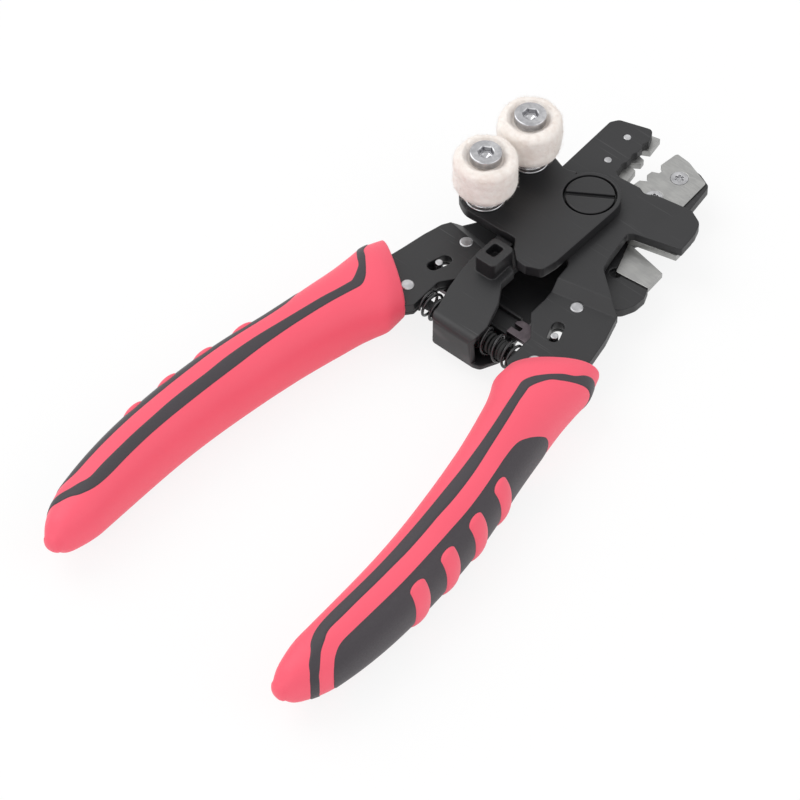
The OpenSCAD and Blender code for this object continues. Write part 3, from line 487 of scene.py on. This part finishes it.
ribSpec = {"places": [0.355, 0.457, 0.558, 0.658], "halfRun": 0.025, "reach": 49, "lift": 0.75,
           "rows": 121, "columns": 33, "taper": 0.2}


def edgeLine(knots, count):  # share of the length and angle, at even steps along a line of knots
    place, u = np.linspace(0, 1, len(knots)), np.linspace(0, 1, count)
    share, angle = np.array(knots, float).T
    return smoothValues(np.column_stack([place, share]), u), smoothValues(np.column_stack([place, angle]), u)


def mirrored(line):  # the underside mirrors the top
    share, angle = line
    return np.concatenate([share, share[::-1][1:-1]]), np.concatenate([angle, -angle[::-1][1:-1]])


def stripe(name, side):
    outer, inner = (mirrored(edgeLine(stripeSpec[edge], stripeSpec["rows"])) for edge in ("outer", "inner"))
    points = tuckedStrip(outer, inner, stripeSpec["lift"], side, stripeSpec["columns"])
    return gridPiece(name, points[:, ::side], along=True)


def panel(name, side):
    t, angle = edgeLine(panelSpec["rim"], panelSpec["rows"])
    points = tuckedStrip((t, angle), (t, -angle), panelSpec["lift"], side, panelSpec["columns"])
    return gridPiece(name, points[:, ::-side])


def rib(name, side, place):
    # A long oval across the outer side: rows run along it, and its rise falls off to all edges
    s = ribSpec
    u = np.linspace(-1, 1, s["rows"])[:, None]
    v = np.linspace(-1, 1, s["columns"])[None, :]
    angle = np.radians(s["reach"]) * np.sin(u * np.pi / 2)
    end = np.clip((1 - np.abs(np.sin(u * np.pi / 2))) / s["taper"], 0, 1)
    half = s["halfRun"] * np.sqrt(1 - (1 - end) ** 2)
    t = place + half * v
    tuck = stripSpec["tuck"]
    rise = -tuck + (s["lift"] + tuck) * np.clip(1 - v**2, 0, 1) ** 0.5 * np.sqrt(1 - (1 - end) ** 2)
    return gridPiece(name, gripPoints(t, np.broadcast_to(angle, t.shape), rise, side)[:, ::side])


for side, hand in ((1, "right"), (-1, "left")):
    body, red, black = hand + "_handle", finishes["red_rubber"], finishes["black_rubber"]
    settle(gripBody(hand + ".grip.red", side), body, red, [hand + "_grip"])
    settle(stripe(hand + ".grip.stripe", side), body, black, [hand + "_grip_inlay"])
    settle(panel(hand + ".grip.panel", side), body, black, [hand + "_grip_inlay"])
    for i, place in enumerate(ribSpec["places"]):
        oval = rib(f"{hand}.grip.rib{i + 1}", side, place)
        settle(oval, body, red, [hand + "_grip_ribs"])
print("grips made")


# Springs: round wire along a helix whose end turns lie flat
springSpec = {"y": -46.8, "z": 7.9, "from": 1.1, "perTurn": 100, "sides": 12, "coils": [
    # the inner coil stops short of the tongue that the handle's backing plate puts into the outer one
    {"outer": 7, "wire": 0.75, "turns": 5.5, "short": 0.05, "closedEnd": 7.35, "finish": "spring_steel"},
    # this inner coil is a closely wound dark core that puts painted shade inside the outer spring
    {"outer": 5.2, "wire": 0.9, "turns": 13, "short": 2.75, "closedEnd": 4.95, "finish": "inner_spring_shade"}]}


def coil(name, side, end, size):
    s = {**springSpec, **size}
    count = round(s["perTurn"] * s["turns"])
    u = np.linspace(0, 1, count)
    phase = 2 * np.pi * s["turns"] * u
    radius = (s["outer"] - s["wire"]) / 2
    closed = smoothValues([[0, 0], [0.13, 0.05], [0.87, 0.95], [1, 1]], u)  # the end turns advance less
    run = s["from"] + s["wire"] / 2 + closed * (end - s["from"] - s["wire"])
    hub = np.stack([run, np.full(count, s["y"]), np.full(count, s["z"])], -1)
    outward = np.stack([np.zeros(count), np.cos(phase), np.sin(phase)], -1)
    ring = np.linspace(0, 2 * np.pi, s["sides"], endpoint=False)
    points = (hub[:, None] + outward[:, None] * (radius + s["wire"] / 2 * np.cos(ring))[None, :, None]
              + np.array([1, 0, 0]) * (s["wire"] / 2 * np.sin(ring))[None, :, None])
    points[..., 0] *= side
    return gridPiece(name, points[:, ::-side], around=True, capStart=True, capEnd=True)


for side, hand in ((1, "right"), (-1, "left")):
    low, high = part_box(hand + "_spring")
    end = max(abs(low.x), abs(high.x)) / mm
    for i, size in enumerate(springSpec["coils"]):
        reach = end - size["short"]
        spring = coil(f"{hand}.spring.coil{i + 1}", side, reach, size)
        settle(spring, "centre_body", finishes[size["finish"]], [hand + "_spring"])
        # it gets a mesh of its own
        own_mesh(spring)
print("springs made")


# Felt wheels
feltSpec = {
    "diameter": 16, "height": 10.5, "bore": 2.2, "swell": 1.5, "dish": 4.4,
    "roundBelow": 3.4, "roundAbove": 2.2, "around": 220,
    "lumps": [(6, 0.12), (2.2, 0.04), (0.9, 0.02)], "waves": 12,  # size and depth of each kind of lump
    "fibres": 6600, "fibreLength": 0.9, "longest": 1.9, "fibreWidth": 0.05, "fibreRings": 5, "fibreSides": 3,
    "bareRows": (14, 8),  # mesh rows at the bore, below and above, that bear no fibres
    "shortest": 0.3, "shortness": 1.5, "lean": (0.6, 1.6), "sway": 0.25, "droop": 0.45, "rooted": 0.15,
    "stray": 0.05,  # share of long fibres that stand clear
    "reach": 0.33,  # how far a fibre may stand out of the side, so that it doesn't rub the other wheel
}


def lumps(points, size, depth, seed):
    # A smooth random height: the sum of sine waves of about one size, brought back to about the depth
    random = np.random.default_rng(seed)
    count = feltSpec["waves"]
    waves = random.normal(size=(count, 3))
    waves *= 2 * np.pi / size / np.linalg.norm(waves, axis=1, keepdims=True)
    return depth * np.sin(points @ waves.T + random.uniform(0, 2 * np.pi, count)).sum(-1) / 3.5


def feltProfile(s):  # half section of the wheel, from its bore below to its bore above, with a swollen brim
    r, h, c, d = s["diameter"] / 2, s["height"] + s["swell"], s["roundBelow"], s["roundAbove"]
    arc = np.linspace(-np.pi / 2, 0, 22)
    low = np.column_stack([r - c + c * np.cos(arc), c + c * np.sin(arc)])
    high = np.column_stack([r - d + d * np.cos(arc[::-1]), h - d - d * np.sin(arc[::-1])])
    inner = np.linspace(s["bore"], r - c, 14)[:-1]
    wall = np.linspace(c, h - d, 24)[1:-1]
    brim = np.linspace(r - d, s["bore"], 20)[1:]
    rise = np.clip((brim - s["dish"]) / (r - d - s["dish"]), 0, 1)
    brim = np.column_stack([brim, s["height"] + s["swell"] * rise**0.6])
    flat, side = np.column_stack([inner, 0 * inner]), np.column_stack([0 * wall + r, wall])
    return np.concatenate([flat, low, side, high, brim])


def feltWheel(name, hub, base, seed):
    s = feltSpec
    profile = feltProfile(s)
    angle = np.linspace(0, 2 * np.pi, s["around"], endpoint=False)
    r, z = profile[:, 0][:, None], profile[:, 1][:, None]
    points = np.stack([hub[0] + r * np.cos(angle), hub[1] + r * np.sin(angle), base + z + 0 * angle], -1)
    slope = np.gradient(profile, axis=0)
    slope /= np.linalg.norm(slope, axis=1, keepdims=True)
    out, up = slope[:, 1:], -slope[:, :1]
    normal = np.stack([out * np.cos(angle), out * np.sin(angle), up + 0 * angle], -1)
    near = np.clip((r - s["bore"]) / 2, 0, 1)[..., None]
    lift = sum(lumps(points, size, depth, seed + i) for i, (size, depth) in enumerate(s["lumps"]))[..., None]
    points = points + normal * (lift - 0.1) * near
    return gridPiece(name, points.transpose(1, 0, 2), along=True), points, normal


def fuzz(name, points, normal, hub, seed):
    # Loose fibres: each a thread from the surface, bent over in a random direction, all as one array
    s = feltSpec
    random = np.random.default_rng(seed)
    rows = random.integers(s["bareRows"][0], points.shape[0] - s["bareRows"][1], s["fibres"])
    columns = random.integers(0, points.shape[1], s["fibres"])
    root, out = points[rows, columns], normal[rows, columns]
    bend = random.normal(size=root.shape)
    bend -= (bend * out).sum(-1, keepdims=True) * out
    bend /= np.linalg.norm(bend, axis=1, keepdims=True)
    curl = np.cross(out, bend)
    length = s["fibreLength"] * random.uniform(s["shortest"], 1, (s["fibres"], 1)) ** s["shortness"]
    stray = random.uniform(size=(s["fibres"], 1)) < s["stray"]
    length = np.where(stray, random.uniform(s["fibreLength"], s["longest"], length.shape), length)
    steps = np.linspace(0, 1, s["fibreRings"])[None, :, None]
    lean = random.uniform(*s["lean"], (s["fibres"], 1))
    sway = length * random.normal(0, s["sway"], (s["fibres"], 1))
    line = (root[:, None] - s["rooted"] * out[:, None]
            + out[:, None] * length[:, None] * (steps - s["droop"] * steps**2)
            + bend[:, None] * (lean * length)[:, None] * steps**1.5
            + curl[:, None] * sway[:, None] * np.sin(steps * np.pi))
    spoke = line[..., :2] - np.array(hub)
    far = np.linalg.norm(spoke, axis=-1, keepdims=True)
    line[..., :2] = np.array(hub) + spoke * np.minimum(1, (s["diameter"] / 2 + s["reach"]) / far)
    ring = np.linspace(0, 2 * np.pi, s["fibreSides"], endpoint=False)
    width = s["fibreWidth"] / 2 * (1.05 - steps)
    section = np.cos(ring)[:, None] * curl[:, None, None] + np.sin(ring)[:, None] * out[:, None, None]
    threads = line[:, :, None] + width[..., None] * section
    rings, sides = s["fibreRings"], s["fibreSides"]
    start = np.arange(s["fibres"])[:, None, None] * rings * sides
    i, j = np.arange(rings - 1)[None, :, None] * sides, np.arange(sides)[None, None, :]
    k = (j + 1) % sides
    quads = np.stack([start + i + j, start + i + k, start + i + sides + k, start + i + sides + j], -1)
    mesh = bpy.data.meshes.new(name)
    mesh.from_pydata((threads.reshape(-1, 3) * mm).tolist(), [], quads.reshape(-1, 4).tolist())
    return linkMesh(name, mesh)


for seed, which in ((3, "front"), (8, "rear")):
    node, body = which + "_felt_wheel", which + "_wheel"
    hub = axisOf(node)
    wheel, points, normal = feltWheel(which + ".felt", hub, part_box(node)[0].z / mm, seed)
    settle(wheel, body, finishes["felt"], [node])
    settle(fuzz(which + ".fibres", points, normal, hub, seed + 20), body, finishes["felt"])
print("felt wheels made")


# Floor, light and backdrop
stageSpec = {
    "floor": "#fbfbfb", "halfFloor": 8, "below": 0.0002, "show": 0.85, "world": 0.7, "aim": (0, -0.06, 0),
    # place, size and power of each soft lamp, in metres and watts
    "lamps": [((-1.6, -0.3, 2.2), 2.4, 26), ((1.8, 0.6, 1.4), 2.0, 8), ((0.2, -2.2, 1.3), 2.0, 9)],
}


def seenDirectly(tree):  # one where the camera, a mirror or a clear piece looks, none where only light falls
    path = addNode(tree, "ShaderNodeLightPath").outputs
    seen = combined(tree, "MAXIMUM", path["Is Camera Ray"], path["Is Glossy Ray"])
    return combined(tree, "MAXIMUM", seen.outputs[0], path["Is Transmission Ray"]).outputs[0]


def makeStage(spec):
    mesh = bpy.data.meshes.new("floor")
    half = spec["halfFloor"]
    corners = [(-half, -half, 0), (half, -half, 0), (half, half, 0), (-half, half, 0)]
    mesh.from_pydata(corners, [], [(0, 1, 2, 3)])
    floor = bpy.data.objects.new("floor", mesh)
    bpy.context.scene.collection.objects.link(floor)
    floor.location.z = min(0.0, cadBox[0].z) - spec["below"]
    material, tree = newMaterial("palePaperFloor")
    shown = {"operation": "MULTIPLY", 1: spec["show"]}
    share = addNode(tree, "ShaderNodeMath", shown, {0: seenDirectly(tree)})
    matt = addNode(tree, "ShaderNodeBsdfDiffuse", {"Color": linearColour(spec["floor"])})
    glow = addNode(tree, "ShaderNodeEmission", {"Color": (1, 1, 1, 1), "Strength": 1.0})
    halves = {0: share.outputs[0], 1: matt.outputs[0], 2: glow.outputs[0]}
    mixed = addNode(tree, "ShaderNodeMixShader", {}, halves)
    addNode(tree, "ShaderNodeOutputMaterial", {}, {"Surface": mixed.outputs[0]})
    mesh.materials.append(material)

    world = bpy.data.worlds.new("studio")
    bpy.context.scene.world = world
    world.use_nodes = True
    tree = world.node_tree
    tree.nodes.clear()
    strength = addNode(tree, "ShaderNodeMapRange", {3: spec["world"], 4: 1.0}, {0: seenDirectly(tree)})
    glow = addNode(tree, "ShaderNodeBackground", {"Color": (1, 1, 1, 1)}, {"Strength": strength.outputs[0]})
    addNode(tree, "ShaderNodeOutputWorld", {}, {"Surface": glow.outputs[0]})

    for i, (place, size, power) in enumerate(spec["lamps"]):
        data = bpy.data.lights.new(f"softLamp{i + 1}", "AREA")
        data.shape, data.size, data.energy = "DISK", size, power
        lamp = bpy.data.objects.new(data.name, data)
        back = np.array(place, float) - np.array(spec["aim"])
        back /= np.linalg.norm(back)
        right = np.cross([0, 0, 1], back)
        right /= np.linalg.norm(right)
        lamp.matrix_world = placed(right, np.cross(back, right), back, place)
        bpy.context.scene.collection.objects.link(lamp)


makeStage(stageSpec)
bpy.context.scene.view_settings.view_transform = "Standard"
print("stage made")
